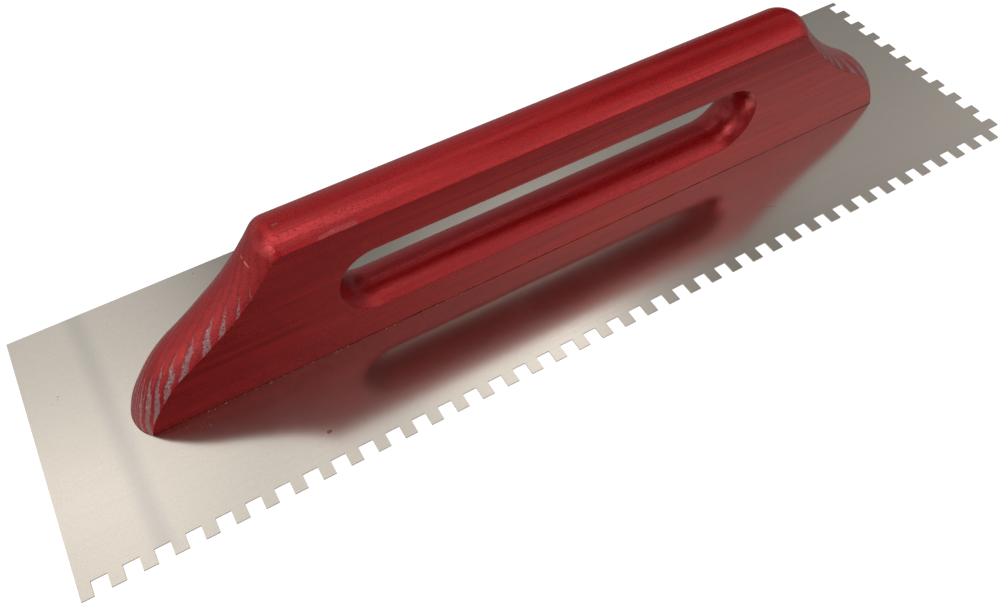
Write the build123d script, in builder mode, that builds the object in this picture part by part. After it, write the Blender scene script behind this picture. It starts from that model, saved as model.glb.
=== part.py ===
from build123d import *
from math import cos, radians, sin, sqrt
import os

# Notched trowel, in millimetres, with its blade lying flat.
# The origin is the middle of the blade's underside. +X runs along the blade towards its notched
# short end, +Y runs across it towards its plain long edge, and +Z points up through the handle.

# Blade: one sheet of spring steel, notched along one long edge and one short end.
blade_length = 480.0
blade_width = 130.0
blade_thickness = 0.7
first_tooth = 4.8
notch_pitch = 12.0
notch_width = 6.4
notch_depth = 6.2
notch_count = 39
corner_length = 7.2
corner_width = 6.8
end_notch_pitch = 12.1
end_notch_width = 6.6
end_notch_depth = 5.7
end_notch_count = 10

# Handle: one board with a rounded rim and a finger slot, standing on edge along the blade.
board_thickness = 24.0
board_offset = -1.0
face_height = 70.3
foot_half_length = 195.5
shoulder_half_length = 172.0
shoulder_height = 29.5
shoulder_slope = 30.0
top_half_length = 127.2
top_corner_radius = 6.0
crown_height = 4.8
slot_half_length = 89.0
slot_radius = 18.25
slot_height = 35.0

# Screws: countersunk wood screws driven up into the handle through pressed dimples in the blade.
screw_positions = [-165.0, -99.0, -33.0, 33.0, 99.0, 165.0]
screw_length = 16.0
screw_radius = 2.0
core_radius = 1.35
shank_end = 5.5
tip_length = 3.2
thread_pitch = 1.3
head_radius = 3.8
head_rim = 0.3
head_sink = 0.1
drive_width = 0.9
drive_length = 4.2
drive_depth = 1.5
dimple_hole_radius = 2.2
fit_gap = 0.05
recess_gap = 0.15


def screw_section(x):
    """Upright plane through the axis of the screw at x."""
    return Plane((x, 0, 0), x_dir=(1, 0, 0), z_dir=(0, -1, 0))


def heading(angle):
    """Direction in the handle's side view, in degrees up from its local X."""
    return Vector(cos(radians(angle)), sin(radians(angle)))


# ---------------------------------------------------------------- blade
first_notch = -blade_length / 2 + first_tooth + notch_width / 2
notch_places = [(first_notch + i * notch_pitch, -blade_width / 2) for i in range(notch_count)]
first_end_notch = -blade_width / 2 + corner_width + end_notch_pitch - end_notch_width / 2
end_notch_places = [(blade_length / 2, first_end_notch + i * end_notch_pitch) for i in range(end_notch_count)]

# A dimple is a cone of the sheet's own thickness, at 45 degrees like the screw's head.
dimple_radius = head_radius + head_rim + head_sink + fit_gap
dimple_rise = dimple_radius - dimple_hole_radius
lip = blade_thickness / sqrt(2)
bend_radius = dimple_radius + blade_thickness * (sqrt(2) - 1)

with BuildPart() as blade:
    with BuildSketch():
        Rectangle(blade_length, blade_width)
        with Locations(*notch_places):
            Rectangle(notch_width, 2 * notch_depth, mode=Mode.SUBTRACT)
        with Locations((blade_length / 2, -blade_width / 2)):
            Rectangle(2 * corner_length, 2 * corner_width, mode=Mode.SUBTRACT)
        with Locations(*end_notch_places):
            Rectangle(2 * end_notch_depth, end_notch_width, mode=Mode.SUBTRACT)
        with Locations(*[(x, 0) for x in screw_positions]):
            Circle(bend_radius + 1, mode=Mode.SUBTRACT)
    extrude(amount=blade_thickness)
    for x in screw_positions:
        with BuildSketch(screw_section(x)):
            with BuildLine():
                Polyline(
                    (bend_radius + 1, 0),
                    (dimple_radius, 0),
                    (dimple_hole_radius, dimple_rise),
                    (dimple_hole_radius + lip, dimple_rise + lip),
                    (bend_radius, blade_thickness),
                    (bend_radius + 1, blade_thickness),
                    close=True,
                )
            make_face()
        revolve(axis=Axis((x, 0, 0), (0, 0, 1)))

# ---------------------------------------------------------------- handle
# The handle's lines are drawn in its side view, with local X along the handle, local Y up, and the
# local origin on the blade's upper face under the middle of the board.
side_view = Plane((board_offset, 0, blade_thickness), x_dir=(1, 0, 0), z_dir=(0, -1, 0))
half_board = board_thickness / 2
shoulder = (shoulder_half_length, shoulder_height)

# The rim bulges up from each foot to the shoulder, hollows up to the top bar and is level along it.
# It starts a little under the foot, so that its rounding can be trimmed level with the blade.
with BuildLine() as rim:
    nose = TangentArc(shoulder, (foot_half_length, 0), tangent=heading(-shoulder_slope))
    Line(nose @ 1, nose @ 1 + crown_height * (nose % 1))
    hollow = TangentArc(shoulder, (top_half_length, face_height), tangent=heading(180 - shoulder_slope))
    Line(hollow @ 1, (0, face_height))
    fillet(rim.vertices().sort_by_distance(hollow @ 1)[0], top_corner_radius)
    mirror(about=Plane.YZ)

with BuildSketch() as slot_outline:
    with Locations((0, slot_height)):
        SlotCenterToCenter(2 * slot_half_length, 2 * slot_radius)

# Section of the rounding: a flat back let 1 mm into the board, and a circular front.
with BuildSketch() as crown:
    with BuildLine():
        Polyline((0, -half_board), (-1, -half_board), (-1, half_board), (0, half_board))
        ThreePointArc((0, half_board), (crown_height, 0), (0, -half_board))
    make_face()

rim_path = side_view.from_local_coords(rim.wire())
rim_along = rim_path % 0
rim_start = Plane(rim_path @ 0, x_dir=(rim_along.Z, 0, -rim_along.X), z_dir=rim_along)
slot_path = side_view.from_local_coords(slot_outline.wire())
slot_floor = (board_offset, 0, blade_thickness + slot_height - slot_radius)
slot_start = Plane(slot_floor, x_dir=(0, 0, 1), z_dir=(1, 0, 0))

# Each screw has a recess for its dimple and a pilot hole, 1 mm deeper than its tip.
pilot_radius = screw_radius + fit_gap
pilot_depth = head_sink + screw_length + 1
recess_depth = dimple_rise + lip + recess_gap

with BuildPart() as handle:
    with BuildSketch(side_view):
        with BuildLine():
            add(rim.line)
            Line(rim.wire() @ 1, rim.wire() @ 0)
        make_face()
        add(slot_outline.sketch, mode=Mode.SUBTRACT)
    extrude(amount=half_board, both=True)
    with BuildSketch(rim_start):
        add(crown.sketch)
    sweep(path=rim_path)
    with BuildSketch(slot_start):
        add(crown.sketch)
    sweep(path=slot_path)
    split(bisect_by=Plane.XY.offset(blade_thickness), keep=Keep.TOP)
    for x in screw_positions:
        with BuildSketch(screw_section(x)):
            with BuildLine():
                Polyline(
                    (0, 0),
                    (bend_radius + blade_thickness + recess_gap, 0),
                    (dimple_hole_radius + lip + recess_gap, recess_depth),
                    (pilot_radius, recess_depth),
                    (pilot_radius, pilot_depth - pilot_radius),
                    (0, pilot_depth),
                    close=True,
                )
            make_face()
        revolve(axis=Axis((x, 0, 0), (0, 0, 1)), mode=Mode.SUBTRACT)

# ---------------------------------------------------------------- screws
# Under the plain shank the thread is a row of ridges round the core, down to the point.
head_top = head_sink + head_rim + head_radius - screw_radius
screw_end = head_sink + screw_length
ridge_count = int((screw_end - tip_length - shank_end) / thread_pitch)
ridge = [(core_radius, 0.1), (screw_radius, 0.5), (core_radius, 0.9)]
thread = [(r, shank_end + (i + step) * thread_pitch) for i in range(ridge_count) for r, step in ridge]

with BuildPart() as screw:
    with BuildSketch(screw_section(0)):
        with BuildLine():
            Polyline(
                (0, head_sink),
                (head_radius, head_sink),
                (head_radius, head_sink + head_rim),
                (screw_radius, head_top),
                (screw_radius, shank_end),
                *thread,
                (core_radius, screw_end - tip_length),
                (0, screw_end),
                close=True,
            )
        make_face()
    revolve(axis=Axis.Z)
    # Cross recess for the screwdriver, in the head's outer face.
    with BuildSketch(Plane.XY.offset(head_sink)):
        Rectangle(drive_length, drive_width)
        Rectangle(drive_width, drive_length)
    extrude(amount=drive_depth, taper=12, mode=Mode.SUBTRACT)

with BuildPart() as handle_screws:
    with Locations(*[(x, 0, 0) for x in screw_positions]):
        add(screw.part)

# ---------------------------------------------------------------- files
blade.part.label = "blade"
handle.part.label = "handle"
handle_screws.part.label = "handle_screws"

os.makedirs("parts", exist_ok=True)
export_step(blade.part, "parts/blade.step")
export_step(handle.part, "parts/handle.step")
export_step(handle_screws.part, "parts/handle_screws.step")
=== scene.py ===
"""Notched trowel: the looks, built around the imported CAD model. Metres throughout."""

import math
import random
from types import SimpleNamespace

import bmesh
import bpy
import numpy as np
from mathutils import Matrix, Vector, noise


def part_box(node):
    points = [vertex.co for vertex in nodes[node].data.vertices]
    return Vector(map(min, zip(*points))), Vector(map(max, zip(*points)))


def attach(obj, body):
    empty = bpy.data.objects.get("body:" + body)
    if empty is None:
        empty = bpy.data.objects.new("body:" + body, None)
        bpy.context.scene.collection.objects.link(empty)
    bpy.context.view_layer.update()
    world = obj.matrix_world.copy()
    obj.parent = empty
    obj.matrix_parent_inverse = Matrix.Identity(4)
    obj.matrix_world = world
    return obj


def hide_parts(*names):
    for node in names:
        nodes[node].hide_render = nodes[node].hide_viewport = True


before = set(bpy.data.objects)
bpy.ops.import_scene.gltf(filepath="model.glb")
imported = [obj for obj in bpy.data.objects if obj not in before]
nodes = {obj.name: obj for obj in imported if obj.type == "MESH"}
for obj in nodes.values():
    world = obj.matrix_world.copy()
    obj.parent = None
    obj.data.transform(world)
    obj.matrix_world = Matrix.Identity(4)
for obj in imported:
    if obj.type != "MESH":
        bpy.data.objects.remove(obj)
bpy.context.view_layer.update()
blade_low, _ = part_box("blade")
handle_low, handle_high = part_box("handle")

MM = 0.001
BLADE_TOP = handle_low.z
HANDLE_X = (handle_low.x + handle_high.x) / 2

# The handle's board, as in the CAD: a flat outline with a rounding swept outwards along it.
HALF_BOARD = handle_high.y
CROWN = 4.8 * MM
FACE_HEIGHT = handle_high.z - BLADE_TOP - CROWN
FOOT = (195.5 * MM, 0.0)
SHOULDER = (172.0 * MM, 29.5 * MM)
SHOULDER_SLOPE = math.radians(30)
TOP_END = (127.2 * MM, FACE_HEIGHT)
TOP_CORNER = 6.0 * MM
SLOT_HALF = 89.0 * MM
SLOT_RADIUS = 18.25 * MM
SLOT_HEIGHT = 35.0 * MM
CREASE_RADIUS = 0.5 * MM
CROWN_RADIUS = (HALF_BOARD**2 + CROWN**2) / (2 * CROWN)

# Screw recesses in the foot of the board: radius and depth of each step of their profile, in millimetres.
SCREW_XS = [x * MM for x in (-165, -99, -33, 33, 99, 165)]
RECESS = [(5.39, 0), (2.845, 2.695), (2.05, 2.695), (2.05, 15.05), (0.6, 17.1)]

# Hand shaping of the two ends: height on the board, and how far its rim stands out there along X, in mm.
LEFT_SHAPE = [(0, 0.9), (6, 0.8), (15, -0.6), (26, -0.6), (39, 0.9), (50, -0.2), (62, -0.3), (76, -0.5)]
RIGHT_SHAPE = [(0, 0.3), (15, 0.5), (28, 0.2), (40, 0.4), (55, 0.3), (76, 0.0)]

# Growth rings of the board: their axis, seen along X, its rise along X, their spacing and their relief.
RING_AXIS = (190 * MM, -58 * MM)
RING_RISE = 0.02
RING_PITCH = 3.2 * MM
RELIEF = 0.16 * MM

# The board's mesh: steps along each long edge of its foot, the foot's small chamfer, and the angle between
# two faces below which their edge is smooth.
FOOT_STEPS = 260
FOOT_CHAMFER = 0.45 * MM
SMOOTH_BELOW = math.radians(38)


# ---------------------------------------------------------------- node trees
def add_node(tree, kind, inputs=None, **settings):
    """A node with its settings, and with each named or numbered input set or linked."""
    made = tree.nodes.new(kind)
    for name, value in settings.items():
        setattr(made, name, value)
    for socket, value in (inputs or {}).items():
        if isinstance(value, bpy.types.NodeSocket):
            tree.links.new(value, made.inputs[socket])
        else:
            made.inputs[socket].default_value = value
    return made


def maths(tree, operation, *values, clamp=False):
    made = add_node(tree, "ShaderNodeMath", dict(enumerate(values)), operation=operation)
    made.use_clamp = clamp
    return made.outputs[0]


def product(tree, value, *others):
    for other in others:
        value = maths(tree, "MULTIPLY", value, other)
    return value


def total(tree, value, *others):
    for other in others:
        value = maths(tree, "ADD", value, other)
    return value


def vector_maths(tree, operation, *values):
    made = add_node(tree, "ShaderNodeVectorMath", dict(enumerate(values)), operation=operation)
    return made.outputs["Value" if operation in ("DOT_PRODUCT", "LENGTH") else "Vector"]


def step(tree, value, low, high, out_low=0.0, out_high=1.0):
    """Smooth step of value from low to high."""
    inputs = {"Value": value, "From Min": low, "From Max": high, "To Min": out_low, "To Max": out_high}
    return add_node(tree, "ShaderNodeMapRange", inputs, interpolation_type="SMOOTHSTEP").outputs[0]


def mix(tree, factor, a, b):
    """Colour a where factor is 0, and b where it is 1."""
    made = add_node(tree, "ShaderNodeMix", {0: factor, 6: a, 7: b}, data_type="RGBA")
    return made.outputs[2]


def stretched(tree, place, scale, detail=2.0):
    """Noise on the place in millimetres over scale, from 0 to 1 about a middle of 0.5."""
    moved = vector_maths(tree, "DIVIDE", place, scale)
    inputs = {"Vector": moved, "Scale": 1.0, "Detail": detail, "Roughness": 0.5}
    return add_node(tree, "ShaderNodeTexNoise", inputs).outputs[0]


def dots(tree, place, scale, near, far):
    """1 at scattered points on the place over scale, falling to 0 between near and far from them."""
    moved = vector_maths(tree, "DIVIDE", place, scale)
    inputs = {"Vector": moved, "Scale": 1.0, "Randomness": 1.0}
    distance = add_node(tree, "ShaderNodeTexVoronoi", inputs).outputs["Distance"]
    return step(tree, distance, near, far, 1, 0)


def separate(tree, vector):
    return list(add_node(tree, "ShaderNodeSeparateXYZ", {0: vector}).outputs)


def attribute(tree, name):
    return add_node(tree, "ShaderNodeAttribute", attribute_name=name).outputs["Fac"]


def new_material(name):
    """A material with one Principled shader, its node tree and the place in millimetres."""
    material = bpy.data.materials.new(name)
    material.use_nodes = True
    tree = material.node_tree
    shader = tree.nodes["Principled BSDF"]
    coordinates = add_node(tree, "ShaderNodeTexCoord")
    place = vector_maths(tree, "SCALE", coordinates.outputs["Object"])
    place.node.inputs["Scale"].default_value = 1 / MM
    return material, tree, shader, place


def bump(tree, shader, height, distance):
    made = add_node(tree, "ShaderNodeBump", {"Height": height, "Distance": distance})
    tree.links.new(made.outputs[0], shader.inputs["Normal"])


# ---------------------------------------------------------------- materials
def mark(tree, place, start, end, width, soft=0.3):
    """1 within width of the line from start to end, all in millimetres, fading over soft of the width."""
    start, end = Vector(start), Vector(end)
    line = end - start
    from_start = vector_maths(tree, "SUBTRACT", place, start)
    along = vector_maths(tree, "DOT_PRODUCT", from_start, line / max(line.length_squared, 0.01))
    along = maths(tree, "ADD", along, 0.0, clamp=True)
    nearest = add_node(tree, "ShaderNodeVectorMath", {0: line, "Scale": along}, operation="SCALE").outputs[0]
    far = vector_maths(tree, "LENGTH", vector_maths(tree, "SUBTRACT", from_start, nearest))
    return step(tree, far, width * (1 - soft), width * (1 + soft), 1.0, 0.0)


def paint_marks(tree, place, tone, marks, speck):
    """The tone with every mark of the list laid over it, each broken up by the speck."""
    for start, end, width, strength, colour in marks:
        broken = step(tree, speck, 0.28, 0.5, 0.35, 1)
        here = product(tree, mark(tree, place, start, end, width), broken, strength)
        tone = mix(tree, here, tone, (*colour, 1))
    return tone


# Marks on the handle as start, end, half width, strength and colour, in millimetres.
BARE_WOOD, PALE, SCUFFED, GREY, DARK = (
    (0.70, 0.21, 0.10), (0.52, 0.050, 0.045), (0.50, 0.13, 0.13), (0.22, 0.16, 0.14), (0.05, 0.002, 0.003))
HANDLE_MARKS = [
    ((-138.2, 3.2, 66.1), (-137.9, -0.6, 65.9), 0.30, 0.9, BARE_WOOD),
    ((-137.8, -2.6, 65.8), (-137.4, -5.4, 65.4), 0.34, 1.0, BARE_WOOD),
    ((-123.4, -0.5, 76.0), (-121.6, -0.2, 76.0), 0.35, 0.8, GREY),
    ((-110.0, -11.7, 71.6), (-104.5, -11.2, 72.2), 0.8, 0.35, SCUFFED),
    ((-104.5, -11.2, 72.2), (-95.5, -11.4, 71.9), 1.0, 0.30, SCUFFED),
    ((-93.5, -12.0, 59.0), (-93.4, -12.0, 59.0), 0.85, 0.5, PALE),
    ((-139.1, -12.0, 59.8), (-139.0, -12.0, 59.8), 0.7, 0.5, PALE),
    ((-147.3, 10.7, 50.6), (-147.0, 10.7, 50.9), 0.7, 0.8, PALE),
    ((-105.1, -12.0, 21.2), (-104.9, -12.0, 20.9), 0.45, 0.9, DARK),
    ((-86.7, -12.0, 60.0), (-86.3, -12.0, 59.8), 0.40, 0.9, DARK),
    ((-136.5, -11.6, 53.6), (-136.0, -11.5, 54.0), 0.45, 0.9, DARK),
]


# Colours of the lacquer, of what shows through it, and of a painted glint.
LACQUER_DEEP, LACQUER_CLEAR = (0.325, 0.0015, 0.0035, 1), (0.440, 0.0065, 0.0085, 1)
LACQUER_CLOUD, FIBRE_DARK = (0.450, 0.0060, 0.0080, 1), (0.235, 0.0012, 0.0028, 1)
SPECK_DARK, SPECK_PALE = (0.150, 0.0010, 0.0020, 1), (0.640, 0.012, 0.014, 1)
DASH_DARK, PORE_DARK = (0.120, 0.0010, 0.0020, 1), (0.035, 0.005, 0.007, 1)
END_GRAIN, LATE_WOOD = (0.300, 0.012, 0.012, 1), (0.220, 0.0015, 0.0020, 1)
DRY_END, PAINTED_GLINT = (0.27, 0.125, 0.130, 1), (0.52, 0.36, 0.35, 1)
PORE_CELL = 1 / 1.15


def facing(tree):
    """Masks of the board's end grain and of its two flat faces, by the way the surface faces."""
    normal = add_node(tree, "ShaderNodeNewGeometry").outputs["Normal"]
    along, across, _ = separate(tree, normal)
    end_grain = step(tree, maths(tree, "ABSOLUTE", along), 0.2, 0.45)
    flat = step(tree, maths(tree, "ABSOLUTE", across), 0.85, 0.97)
    return end_grain, flat


def wood_noises(tree, place):
    """The board's noises, which its colour, gloss and relief share."""
    return SimpleNamespace(
        fibre=stretched(tree, place, (26.0, 0.42, 0.42), detail=3),
        band=stretched(tree, place, (170.0, 2.6, 2.6)),
        cloud=stretched(tree, place, (40.0, 22.0, 22.0)),
        speck=stretched(tree, place, (0.55, 0.38, 0.38)),
        ragged=stretched(tree, place, (3.0, 0.9, 1.6), detail=3),
    )


def lacquer_tone(tree, wood, flat, coarse, dash):
    """The lacquer's own colour: bands, fibres, clouds, specks and short open pores."""
    tone = mix(tree, step(tree, wood.band, 0.36, 0.64), LACQUER_DEEP, LACQUER_CLEAR)
    lines = product(tree, step(tree, wood.fibre, 0.40, 0.66), step(tree, flat, 0.0, 1.0, 0.5, 0.8))
    tone = mix(tree, lines, tone, FIBRE_DARK)
    tone = mix(tree, step(tree, wood.cloud, 0.35, 0.75, 0, 0.3), tone, LACQUER_CLOUD)
    tone = mix(tree, product(tree, step(tree, wood.speck, 0.34, 0.60, 0.2, 0), coarse), tone, SPECK_DARK)
    tone = mix(tree, product(tree, step(tree, wood.speck, 0.52, 0.72, 0, 0.2), coarse), tone, SPECK_PALE)
    return mix(tree, product(tree, dash, coarse, 0.45), tone, DASH_DARK)


def ring_streaks(tree, place, wood, end_grain):
    """On the end grain: a broad dry streak to each ring, with a thin one on the far part, and late wood."""
    dry = attribute(tree, "dry")
    phase = maths(tree, "FRACT", total(tree, attribute(tree, "growth"), product(tree, wood.ragged, 0.42)))
    inside = maths(tree, "SUBTRACT", product(tree, dry, 0.62), phase)
    broad = product(tree, step(tree, phase, 0.0, 0.07), step(tree, inside, 0.0, 0.09))
    thin = product(tree, step(tree, phase, 0.52, 0.58), step(tree, phase, 0.66, 0.74, 1, 0))
    far_part = step(tree, separate(tree, place)[1], -7.0, -3.0)
    thin = product(tree, thin, step(tree, dry, 0.25, 0.6, 0, 0.75), far_part)
    streak = product(tree, maths(tree, "MAXIMUM", broad, thin), end_grain)
    late = product(tree, step(tree, phase, 0.62, 0.86), step(tree, phase, 0.9, 1.0, 1, 0), end_grain)
    return streak, late


def end_grain_tone(tree, tone, wood, end_grain, streak, late, bare, pores):
    """The tone with the end grain laid over it: late wood, dry streaks with a pale painted glint on part of
    them, and pores.
    """
    tone = mix(tree, product(tree, end_grain, 0.4), tone, END_GRAIN)
    tone = mix(tree, product(tree, late, 0.55), tone, LATE_WOOD)
    tone = mix(tree, bare, tone, DRY_END)
    # Painted highlight: a pale glint laid on part of the dry streaks.
    tone = mix(tree, product(tree, streak, step(tree, wood.ragged, 0.60, 0.68), 0.7), tone, PAINTED_GLINT)
    return mix(tree, product(tree, pores, 0.95), tone, PORE_DARK)


def lacquered_wood():
    """Red lacquer over an open-grained board: fibres along X, rings that show on the end grain."""
    material, tree, shader, place = new_material("lacquered_wood_red")
    end_grain, flat = facing(tree)
    wood = wood_noises(tree, place)
    coarse = step(tree, flat, 0.0, 1.0, 1.0, 0.35)
    side_grain = maths(tree, "SUBTRACT", 1.0, end_grain)
    dash = dots(tree, place, (1.5, 0.5, 0.5), 0.12, 0.34)
    dash = product(tree, dash, step(tree, wood.band, 0.35, 0.65, 0.3, 1), side_grain)
    streak, late = ring_streaks(tree, place, wood, end_grain)
    bare = product(tree, streak, step(tree, wood.speck, 0.25, 0.5, 0.45, 1))
    opened = product(tree, end_grain, step(tree, wood.cloud, 0.40, 0.60, 0.1, 0.5))
    pores = dots(tree, place, (PORE_CELL, PORE_CELL, PORE_CELL), 0.24, 0.42)
    pores = product(tree, pores, maths(tree, "MAXIMUM", streak, opened))

    tone = lacquer_tone(tree, wood, flat, coarse, dash)
    tone = end_grain_tone(tree, tone, wood, end_grain, streak, late, bare, pores)
    tone = paint_marks(tree, place, tone, HANDLE_MARKS, wood.speck)
    tree.links.new(tone, shader.inputs["Base Color"])
    tree.links.new(step(tree, bare, 0.0, 1.0, 0.4, 0.08), shader.inputs["Metallic"])
    gloss = step(tree, wood.cloud, 0.3, 0.7, 0.23, 0.29)
    gloss = total(tree, gloss, product(tree, bare, 0.2), step(tree, wood.speck, 0.4, 0.7, 0.0, 0.03))
    tree.links.new(gloss, shader.inputs["Roughness"])

    specks = product(tree, wood.speck, 0.15)
    fine = total(tree, product(tree, wood.fibre, 0.6), specks, product(tree, dash, -0.7))
    fine = product(tree, fine, step(tree, flat, 0.0, 1.0, 1.0, 0.15))
    relief = total(tree, fine, product(tree, wood.band, 1.2), product(tree, pores, -0.7))
    bump(tree, shader, relief, 0.10 * MM)
    return material


# Marks on the blade as for the handle, and its scratches as start and end.
STAIN, RUST = (0.10, 0.08, 0.07), (0.45, 0.16, 0.10)
BLADE_MARKS = [
    ((-156.4, 61.7, 0.7), (-156.2, 61.5, 0.7), 0.30, 0.5, STAIN),
    ((-226.7, 26.6, 0.7), (-226.6, 26.6, 0.7), 0.30, 0.6, STAIN),
    ((-227.1, 25.1, 0.7), (-227.0, 25.1, 0.7), 0.22, 0.6, STAIN),
    ((-229.7, 23.8, 0.7), (-229.6, 23.8, 0.7), 0.22, 0.5, STAIN),
    ((-131.0, -30.0, 0.7), (-129.0, -29.5, 0.7), 0.20, 0.4, RUST),
    ((96.0, -40.5, 0.7), (103.0, -44.0, 0.7), 0.30, 0.25, STAIN),
]
# A faint dark band across the blade's upper side, a painted reflection, as start and end.
PAINTED_REFLECTION_BAND = ((-211.5, 70.0, 0.7), (-207.0, -60.0, 0.7))
BLADE_SCRATCHES = [
    ((-37.3, -25.4, 0.7), (-37.1, -43.7, 0.7)),
    ((-33.3, -26.7, 0.7), (-32.9, -46.2, 0.7)),
    ((-22.6, -32.1, 0.7), (-20.8, -38.8, 0.7)),
    ((-31.2, -34.0, 0.7), (-29.7, -33.2, 0.7)),
    ((-30.0, -27.5, 0.7), (-27.0, -26.9, 0.7)),
    ((-60.0, -24.0, 0.7), (-52.0, -26.5, 0.7)),
]


STEEL_DARK, STEEL_PALE = (0.612, 0.556, 0.486, 1), (0.655, 0.596, 0.525, 1)
ROLLED_LINE, CUT_EDGE, PAINTED_REFLECTION_TONE = (0.54, 0.485, 0.42, 1), (0.78, 0.68, 0.57, 1), (0.445, 0.430, 0.405, 1)


def steel_tone(tree, place, grain, rolled, cut_edge):
    """The blade's colour: fine specks, lines of the rolling, cut edges, a painted reflection band and small
    marks.
    """
    height = separate(tree, place)[2]
    # Painted reflection: a dark band across the top of the blade, laid on as colour.
    band = product(tree, mark(tree, place, *PAINTED_REFLECTION_BAND, 3.6, soft=0.95), step(tree, height, 0.2, 0.5))
    tone = mix(tree, step(tree, grain, 0.3, 0.7), STEEL_DARK, STEEL_PALE)
    tone = mix(tree, step(tree, rolled, 0.35, 0.8, 0, 0.12), tone, ROLLED_LINE)
    tone = mix(tree, cut_edge, tone, CUT_EDGE)
    tone = mix(tree, product(tree, band, 0.5), tone, PAINTED_REFLECTION_TONE)
    return paint_marks(tree, place, tone, BLADE_MARKS, grain)


def sheet_steel():
    """Rolled spring steel: a soft satin mirror with fine specks and faint lines along X."""
    material, tree, shader, place = new_material("rolled_steel")
    shader.inputs["Metallic"].default_value = 1.0
    grain = stretched(tree, place, (0.5, 0.35, 0.5))
    rolled = stretched(tree, place, (90.0, 0.8, 1.0), detail=3)
    cloud = stretched(tree, place, (60.0, 40.0, 10.0))
    normal = add_node(tree, "ShaderNodeNewGeometry").outputs["Normal"]
    cut_edge = step(tree, maths(tree, "ABSOLUTE", separate(tree, normal)[2]), 0.2, 0.5, 1, 0)
    tree.links.new(steel_tone(tree, place, grain, rolled, cut_edge), shader.inputs["Base Color"])
    tree.links.new(step(tree, cut_edge, 0.0, 1.0, 1.0, 0.3), shader.inputs["Metallic"])
    rough = step(tree, cloud, 0.3, 0.7, 0.165, 0.185)
    rough = total(tree, rough, step(tree, rolled, 0.4, 0.8, 0, 0.006), product(tree, cut_edge, 0.25))
    for start, end in BLADE_SCRATCHES:
        rough = total(tree, rough, product(tree, mark(tree, place, start, end, 0.12, soft=0.7), 0.07))
    tree.links.new(rough, shader.inputs["Roughness"])
    bump(tree, shader, total(tree, product(tree, grain, 0.8), product(tree, rolled, 0.2)), 0.0008 * MM)
    return material


def zinc():
    """Bright zinc plating with a fine crystalline mottle."""
    material, tree, shader, place = new_material("bright_zinc")
    shader.inputs["Metallic"].default_value = 1.0
    mottle = stretched(tree, place, (0.6, 0.6, 0.6))
    tone = mix(tree, step(tree, mottle, 0.35, 0.7), (0.62, 0.61, 0.58, 1), (0.48, 0.47, 0.44, 1))
    tree.links.new(tone, shader.inputs["Base Color"])
    tree.links.new(step(tree, mottle, 0.3, 0.7, 0.28, 0.42), shader.inputs["Roughness"])
    bump(tree, shader, mottle, 0.01 * MM)
    return material


def set_material(thing, material):
    thing.data.materials.clear()
    thing.data.materials.append(material)


# ---------------------------------------------------------------- handle
def arc(centre, radius, start, end, count, outward=1):
    """Points on an arc after its first, each as x, z, the outward normal's x and z, and no slide."""
    angles = np.linspace(start, end, count + 1)[1:]
    c, s = np.cos(angles), np.sin(angles)
    x, z = centre[0] + radius * c, centre[1] + radius * s
    return np.column_stack([x, z, outward * c, outward * s, 0 * c])


def tangent_circle(start, end, side):
    """Centre and radius of the arc from start to end that has its centre along side from start."""
    start, end, side = (np.array(v, float) for v in (start, end, side))
    chord = end - start
    radius = chord @ chord / (2 * chord @ side)
    return start + side * radius, radius


def rim_outline():
    """The outline of the flat faces from foot to foot. The last few rows at each foot slide down the
    outline's own tangent, by their last number times the distance out, so that they end on the blade."""
    inward = (-math.sin(SHOULDER_SLOPE), -math.cos(SHOULDER_SLOPE))
    nose_centre, nose_radius = tangent_circle(SHOULDER, FOOT, inward)
    hollow_centre, hollow_radius = tangent_circle(SHOULDER, TOP_END, (-inward[0], -inward[1]))
    corner_z = FACE_HEIGHT - TOP_CORNER
    rise = hollow_centre[1] - corner_z
    reach = math.sqrt((hollow_radius + TOP_CORNER) ** 2 - rise**2)
    corner = (hollow_centre[0] - reach, corner_z)
    turn = math.atan2(rise, reach)
    foot_turn = math.atan2(FOOT[1] - nose_centre[1], FOOT[0] - nose_centre[0])
    shoulder_turn = math.pi / 2 - SHOULDER_SLOPE

    top = np.array([(x, FACE_HEIGHT, 0, 1, 0) for x in np.linspace(0, corner[0], 60)])
    fillet = arc(corner, TOP_CORNER, math.pi / 2, turn, 16)
    hollow = arc(hollow_centre, hollow_radius, math.pi + turn, math.pi + shoulder_turn, 84, outward=-1)
    nose = arc(nose_centre, nose_radius, shoulder_turn, foot_turn, 56)
    foot = np.repeat(nose[-1:], 3, axis=0)
    foot[:, 4] = np.array([1, 2, 3]) / 3 * math.tan(foot_turn)
    half = np.vstack([top, fillet, hollow, nose, foot])
    return np.vstack([half[:0:-1] * (-1, 1, -1, 1, 1), half])


def crown_section(count=36, turns=5):
    """The board's rounding as rows of y and distance out, from face to face, with softened creases."""
    base, edge = CROWN - CROWN_RADIUS, HALF_BOARD - CREASE_RADIUS
    reach = math.sqrt((CROWN_RADIUS - CREASE_RADIUS) ** 2 - edge**2)
    end = math.atan2(edge, reach)
    crease = [(edge + CREASE_RADIUS * math.cos(a), base + reach + CREASE_RADIUS * math.sin(a))
              for a in np.linspace(0, math.pi / 2 - end, turns)]
    crown = [(CROWN_RADIUS * math.sin(a), base + CROWN_RADIUS * math.cos(a))
             for a in np.linspace(end, -end, count + 1)[1:-1]]
    return np.array(crease + crown + [(-y, e) for y, e in reversed(crease)])


def swept(outline, section):
    """Grid of points: each outline row carries the section."""
    x, z, nx, nz, slide = (outline[:, i, None] for i in range(5))
    y, out = section[:, 0][None], section[:, 1][None]
    facing = np.where(x >= 0, 1.0, -1.0)
    points_x = x + nx * out + nz * facing * slide * out
    points_z = z + nz * out - nx * facing * slide * out
    points_y = np.broadcast_to(y, points_x.shape)
    return np.stack([points_x + HANDLE_X, points_y, points_z + BLADE_TOP], axis=-1)


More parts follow.
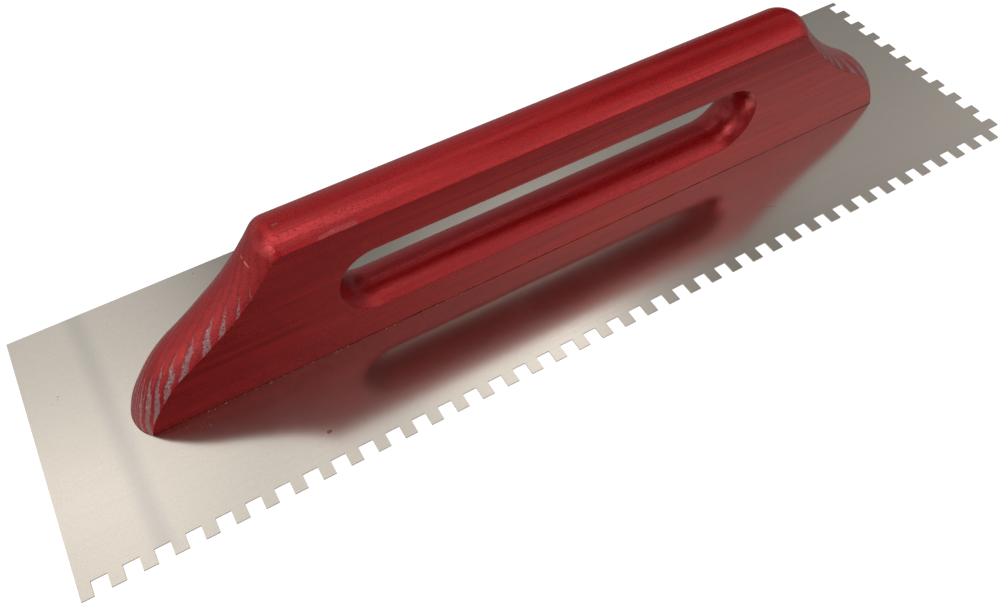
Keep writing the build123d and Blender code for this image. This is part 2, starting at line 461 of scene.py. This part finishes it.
def slot_outline():
    """The finger slot's outline, a closed ring with its normals pointing into the slot."""
    right = arc((SLOT_HALF, SLOT_HEIGHT), SLOT_RADIUS, -math.pi / 2, math.pi / 2, 56, outward=-1)
    left = arc((-SLOT_HALF, SLOT_HEIGHT), SLOT_RADIUS, math.pi / 2, 1.5 * math.pi, 56, outward=-1)
    xs = np.linspace(-SLOT_HALF, SLOT_HALF, 73)[1:]
    low = np.array([(x, SLOT_HEIGHT - SLOT_RADIUS, 0, 1, 0) for x in xs])
    high = np.array([(-x, SLOT_HEIGHT + SLOT_RADIUS, 0, -1, 0) for x in xs])
    return np.vstack([low, right, high, left])


def clamp(value):
    return min(max(value, 0), 1)


def growth(p):
    """Which growth ring of the board a point lies in, with its fraction through the ring."""
    drift = noise.noise(Vector((p[0] * 12, p[1] * 60, p[2] * 60))) * 0.35
    drift += noise.noise(Vector((p[0] * 3 + 7, p[1] * 200, p[2] * 200))) * 0.12
    return math.hypot(p[1] - RING_AXIS[0], p[2] - RING_AXIS[1] + RING_RISE * p[0]) / RING_PITCH + drift


def ring_ridge(p):
    """How far a point is into the hard late wood of its growth ring, 0 to 1."""
    phase = (growth(p) + 0.21) % 1.0
    return (clamp(phase / 0.16) * clamp((0.62 - phase) / 0.2)) ** 1.5


def dryness(p):
    """Where the end grain has drunk the lacquer: the near creases and the noses, fading upwards."""
    if abs(p[0] - HANDLE_X) < SLOT_HALF + SLOT_RADIUS + 1 * MM:
        return 0.0
    y, z = p[1] / MM, p[2] / MM
    low = clamp((34 - z) / 26)
    near = clamp((-1 - 2 * (1 - low) - y) / 7.5)
    far = (0.8 if p[0] < HANDLE_X else 0.35) * low
    fade = clamp((62 - z) / 20)
    patch = 0.75 + 0.5 * noise.noise(Vector((p[0] * 90, p[1] * 90, p[2] * 90)))
    return clamp((near + far) * fade * patch)


def fill(bm, *loops):
    """Fills between closed loops of vertices that lie in one plane."""
    edges = []
    for loop in loops:
        for a, b in zip(loop, loop[1:] + loop[:1]):
            edges.append(bm.edges.get((a, b)) or bm.edges.new((a, b)))
    bmesh.ops.triangle_fill(bm, edges=edges, use_beauty=True)


def strip(bm, one, two, closed=True):
    """Quads between two rows of vertices."""
    count = len(one) if closed else len(one) - 1
    for i in range(count):
        j = (i + 1) % len(one)
        bm.faces.new((one[i], one[j], two[j], two[i]))


def grid(bm, points, ring=False):
    """Quads over a grid of points, joined from last row to first in a ring; returns its rows of vertices."""
    rows = [[bm.verts.new(p) for p in row] for row in points]
    for one, two in zip(rows, rows[1:] + rows[:1] if ring else rows[1:]):
        strip(bm, one, two, closed=False)
    return rows


def recess(bm, x, turns=32):
    """A screw's recess up into the board; returns its rim, on the foot."""
    angles = [2 * math.pi * i / turns for i in range(turns)]
    rings = []
    for radius, depth in RECESS:
        radius, z = radius * MM, BLADE_TOP + depth * MM
        rings.append([bm.verts.new((x + radius * math.cos(a), radius * math.sin(a), z)) for a in angles])
    for one, two in zip(rings, rings[1:]):
        strip(bm, one, two)
    bm.faces.new(rings[-1])
    return rings[0]


def hand_shaping(p):
    """How far the rim stands out from the outline at a point, along X."""
    heights, shifts = zip(*(LEFT_SHAPE if p[0] < HANDLE_X else RIGHT_SHAPE))
    around = (p[2] - BLADE_TOP) / MM + np.array([-3.0, 0.0, 3.0])
    shift = np.interp(around, heights, shifts).mean() * MM
    end = clamp((abs(p[0] - HANDLE_X) - 100 * MM) / (25 * MM))
    return math.copysign(1, p[0]) * shift * end


def foot_gap(x, y):
    """Height of the small ragged chamfer round the foot of the board."""
    ragged = noise.noise(Vector((x * 180, y * 180, 0.5))) + 0.6 * noise.noise(Vector((x * 900, y * 900, 3.5)))
    return (0.28 + 0.22 * ragged) * MM


def carve(rim):
    """Shapes the rim's points in place: the ends as by hand, and the late wood of the rings in relief."""
    for p in rim.reshape(-1, 3):
        clear_of_foot = clamp((p[2] - BLADE_TOP) / MM)
        slope = clamp((FACE_HEIGHT + BLADE_TOP - p[2]) / (8 * MM))
        middle = 1 - (abs(p[1]) / HALF_BOARD) ** 8
        sunk = RELIEF * (1 - ring_ridge(p)) * clear_of_foot * slope * middle
        p[0] += hand_shaping(p) - math.copysign(sunk, p[0])


def make_foot(bm, rim_rows):
    """The board's underside, chamfered and with its recesses; returns the lower edges of the flat faces."""
    left, right = rim_rows[0], rim_rows[-1]
    lines = {}
    for side, y in ((0, HALF_BOARD), (-1, -HALF_BOARD)):
        xs = np.linspace(left[side].co.x, right[side].co.x, FOOT_STEPS + 1)[1:-1]
        lines[side] = [bm.verts.new((x, y, BLADE_TOP)) for x in xs]
    foot = left + lines[-1] + right[::-1] + lines[0][::-1]
    for v in foot:
        v.co.z = BLADE_TOP + foot_gap(v.co.x, v.co.y)
    scale_x = 1 - FOOT_CHAMFER / (right[0].co.x - left[0].co.x) * 2
    scale_y = 1 - FOOT_CHAMFER / HALF_BOARD
    inner = [(HANDLE_X + (v.co.x - HANDLE_X) * scale_x, v.co.y * scale_y, BLADE_TOP) for v in foot]
    inner = [bm.verts.new(p) for p in inner]
    strip(bm, foot, inner)
    fill(bm, inner, *[recess(bm, x) for x in SCREW_XS])
    return lines


def board_mesh():
    """The whole board as one closed mesh, with its growth rings and dryness as attributes."""
    rim = swept(rim_outline(), crown_section())
    carve(rim)
    bm = bmesh.new()
    rim_rows = grid(bm, rim)
    slot_rows = grid(bm, swept(slot_outline(), crown_section(28)), ring=True)
    lines = make_foot(bm, rim_rows)
    for side in (0, -1):
        outer = [row[side] for row in rim_rows] + lines[side][::-1]
        fill(bm, outer, [row[side] for row in slot_rows])
    bmesh.ops.recalc_face_normals(bm, faces=bm.faces)
    for edge in bm.edges:
        edge.smooth = len(edge.link_faces) == 2 and edge.calc_face_angle() < SMOOTH_BELOW
    for face in bm.faces:
        face.smooth = True

    mesh = bpy.data.meshes.new("handle_board")
    bm.to_mesh(mesh)
    bm.free()
    for name, measure in (("growth", growth), ("dry", dryness)):
        layer = mesh.attributes.new(name, "FLOAT", "POINT")
        layer.data.foreach_set("value", [measure(v.co) for v in mesh.vertices])
    return mesh


def make_handle():
    board = bpy.data.objects.new("handle_board", board_mesh())
    bpy.context.scene.collection.objects.link(board)
    board.modifiers.new("flat_faces", "WEIGHTED_NORMAL").keep_sharp = True
    set_material(board, lacquered_wood())
    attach(board, "root")
    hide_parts("handle")


# ---------------------------------------------------------------- lacquer on the blade
# Crumbs along the joint over a range of x, loose ones round a middle, and the place of the drop.
JOINT_CRUMBS = 90
LOOSE_CRUMBS = 12
CRUMBS_X = (-186 * MM, -30 * MM)
LOOSE_AROUND = Vector((-175.8 * MM, -14.2 * MM, BLADE_TOP))
DROP = Vector((-134.4 * MM, -46.6 * MM, BLADE_TOP))


def dried_lacquer():
    """Lacquer that has run off the board and dried: dull, brownish red to pale with sanding dust."""
    material, tree, shader, place = new_material("dried_lacquer")
    mottle = stretched(tree, place, (0.5, 0.5, 0.5))
    patch = stretched(tree, place, (2.2, 2.2, 2.2), detail=1)
    tone = mix(tree, step(tree, mottle, 0.35, 0.65), (0.130, 0.022, 0.018, 1), (0.240, 0.045, 0.038, 1))
    tone = mix(tree, step(tree, patch, 0.48, 0.60), tone, (0.440, 0.220, 0.170, 1))
    tree.links.new(tone, shader.inputs["Base Color"])
    tree.links.new(step(tree, mottle, 0.3, 0.7, 0.38, 0.60), shader.inputs["Roughness"])
    bump(tree, shader, mottle, 0.02 * MM)
    return material


def lump(bm, rng, centre, radius, height):
    """An irregular lump that lies on the blade."""
    ball = bmesh.ops.create_icosphere(bm, subdivisions=2, radius=1)["verts"]
    seed, long = Vector((rng.uniform(0, 99), 0, 0)), rng.uniform(1.0, 1.6)
    turn = Matrix.Rotation(rng.uniform(-0.8, 0.8), 3, "Z")
    for v in ball:
        push = 1 + 0.5 * noise.noise(v.co * 1.4 + seed)
        shape = turn @ Vector((v.co.x * push * long * radius, v.co.y * push * radius, 0))
        shape.z = max(v.co.z, -0.35) * push * height + 0.36 * height
        v.co = centre + shape


def lacquer_piece(name, lumps, rng):
    bm = bmesh.new()
    for centre, radius, height in lumps:
        lump(bm, rng, centre, radius, height)
    for face in bm.faces:
        face.smooth = True
    mesh = bpy.data.meshes.new(name)
    bm.to_mesh(mesh)
    bm.free()
    piece = bpy.data.objects.new(name, mesh)
    bpy.context.scene.collection.objects.link(piece)
    set_material(piece, dried_lacquer())
    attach(piece, "root")


def make_dried_lacquer():
    """Crumbs along the near joint and beside the left nose, and one drop on the blade."""
    rng = random.Random(7)
    crumbs = []
    for _ in range(JOINT_CRUMBS):
        x = rng.triangular(CRUMBS_X[0], CRUMBS_X[1], CRUMBS_X[0] + 20 * MM)
        radius = rng.uniform(0.10, 0.26) * MM
        y = -HALF_BOARD - rng.uniform(0.0, 0.35) * MM - radius
        crumbs.append((Vector((x, y, BLADE_TOP)), radius, radius))
    for _ in range(LOOSE_CRUMBS):
        shift = Vector((rng.gauss(0, 3.5), rng.gauss(-1.5, 1.6), 0)) * MM
        place = LOOSE_AROUND + shift
        place.y = min(place.y, -HALF_BOARD - 0.8 * MM)
        radius = rng.uniform(0.10, 0.20) * MM
        crumbs.append((place, radius, radius * 0.7))
    lacquer_piece("paint_crumbs", crumbs, rng)
    lacquer_piece("paint_drop", [(DROP, 0.95 * MM, 0.22 * MM)], rng)


# ---------------------------------------------------------------- studio
def sky_glow(tree, direction, azimuth, elevation, inner, outer, strength):
    """One soft round light in the sky: full within inner degrees of its middle, gone at outer."""
    az, el = math.radians(azimuth), math.radians(elevation)
    axis = (math.cos(el) * math.sin(az), math.cos(el) * math.cos(az), math.sin(el))
    near = vector_maths(tree, "DOT_PRODUCT", direction, axis)
    edge = (math.cos(math.radians(outer)), math.cos(math.radians(inner)))
    return step(tree, near, edge[0], edge[1], 0.0, strength)


# Azimuth from +Y towards +X, elevation, inner and outer radius, all in degrees, and strength. Most of these
# directions were laid out by hand, and their strengths then came from a least-squares fit to colours of the
# photograph, made outside this script. They were rounded, and some were changed, added or dropped.
SKY_LIGHTS = [
    # Lamps at the left, seen in the left end and in the top corner.
    (-103, 46, 3, 13, 4.5), (-115, 60, 2, 11, 8.5),
    # Overhead, seen along the top bar.
    (0, 90, 0, 25, 0.45), (0, 90, 0, 12, 1.0), (60, 82, 0, 10, 2.2), (-30, 78, 0, 14, 2.2),
    (160, 76, 0, 13, 3.2), (-90, 68, 0, 28, 1.0), (-45, 68, 0, 28, 0.8),
    # Behind the trowel, seen in the blade.
    (-28, 60, 0, 12, 0.35), (-10, 60, 0, 10, 0.2), (5, 60, 0, 10, 0.45), (15, 62, 4, 9, 0.6),
    (35, 60, 0, 10, 1.2), (15, 53, 0, 9, 0.2), (30, 53, 0, 9, 0.65), (42, 53, 0, 9, 0.35),
    (-15, 48, 0, 16, 1.0), (48, 48, 0, 16, 0.26),
    (30, 35, 0, 16, 0.36), (60, 35, 0, 16, 0.42), (75, 35, 0, 16, 0.25),
    # In front of the trowel, on its near face.
    (130, 48, 0, 28, 1.2), (160, 42, 0, 24, 0.45), (130, 30, 0, 30, 0.4), (160, 30, 0, 30, 0.45),
    # Low, round the room.
    (-110, 30, 0, 30, 0.9), (-80, 30, 0, 30, 0.7), (-90, 10, 0, 40, 0.55), (-45, 10, 0, 40, 0.75),
    (0, 10, 0, 40, 0.5), (95, 14, 0, 38, 0.6), (-150, 14, 0, 36, 0.4),
]


def make_world():
    """A plain studio of soft round lights. The camera itself sees only white."""
    world = bpy.data.worlds.new("studio")
    bpy.context.scene.world = world
    world.use_nodes = True
    tree = world.node_tree
    tree.nodes.clear()
    direction = add_node(tree, "ShaderNodeTexCoord").outputs["Generated"]
    light = 0.0
    for glow in SKY_LIGHTS:
        light = maths(tree, "ADD", light, sky_glow(tree, direction, *glow))
    room = add_node(tree, "ShaderNodeBackground", {"Strength": light})
    plain = add_node(tree, "ShaderNodeBackground", {"Color": (1, 1, 1, 1), "Strength": 1.0})
    seen = add_node(tree, "ShaderNodeLightPath").outputs["Is Camera Ray"]
    both = add_node(tree, "ShaderNodeMixShader", {0: seen, 1: room.outputs[0], 2: plain.outputs[0]})
    add_node(tree, "ShaderNodeOutputWorld", {"Surface": both.outputs[0]})


FLOOR_REACH = 3.0
FLOOR_GAP = 0.05 * MM
FLOOR_LIFT = 0.86


def make_floor():
    """A plain pale floor just under the blade, lifted to near white where the camera sees it."""
    mesh = bpy.data.meshes.new("floor")
    corners = [(-FLOOR_REACH, -FLOOR_REACH), (FLOOR_REACH, -FLOOR_REACH), (FLOOR_REACH, FLOOR_REACH),
               (-FLOOR_REACH, FLOOR_REACH)]
    mesh.from_pydata([(x, y, blade_low.z - FLOOR_GAP) for x, y in corners], [], [(0, 1, 2, 3)])
    floor = bpy.data.objects.new("floor", mesh)
    bpy.context.scene.collection.objects.link(floor)
    material, tree, shader, _ = new_material("pale_floor")
    shader.inputs["Base Color"].default_value = (0.30, 0.30, 0.30, 1)
    shader.inputs["Roughness"].default_value = 1.0
    shader.inputs["Specular IOR Level"].default_value = 0.0
    seen = add_node(tree, "ShaderNodeLightPath").outputs["Is Camera Ray"]
    lift = add_node(tree, "ShaderNodeEmission", {"Strength": product(tree, seen, FLOOR_LIFT)})
    both = add_node(tree, "ShaderNodeAddShader", {0: shader.outputs[0], 1: lift.outputs[0]})
    tree.links.new(both.outputs[0], tree.nodes["Material Output"].inputs["Surface"])
    set_material(floor, material)


CAMERA_PLACE = Vector((-0.15490, -0.22999, 0.31864))
CAMERA_AIM = Vector((-0.04156, -0.02491, 0.0))
CAMERA_LENS = 31.55
CAMERA_ROLL = math.radians(-1.38)


def make_camera():
    data = bpy.data.cameras.new("camera")
    data.sensor_width = 36
    data.lens = CAMERA_LENS
    data.clip_start = 0.01
    camera = bpy.data.objects.new("camera", data)
    turn = (CAMERA_AIM - CAMERA_PLACE).to_track_quat("-Z", "Y").to_matrix().to_4x4()
    camera.matrix_world = Matrix.Translation(CAMERA_PLACE) @ turn @ Matrix.Rotation(CAMERA_ROLL, 4, "Z")
    bpy.context.scene.collection.objects.link(camera)
    bpy.context.scene.camera = camera


make_camera()
make_world()
make_floor()
bpy.context.scene.view_settings.view_transform = "Standard"
set_material(nodes["blade"], sheet_steel())
set_material(nodes["handle_screws"], zinc())
make_handle()
make_dried_lacquer()
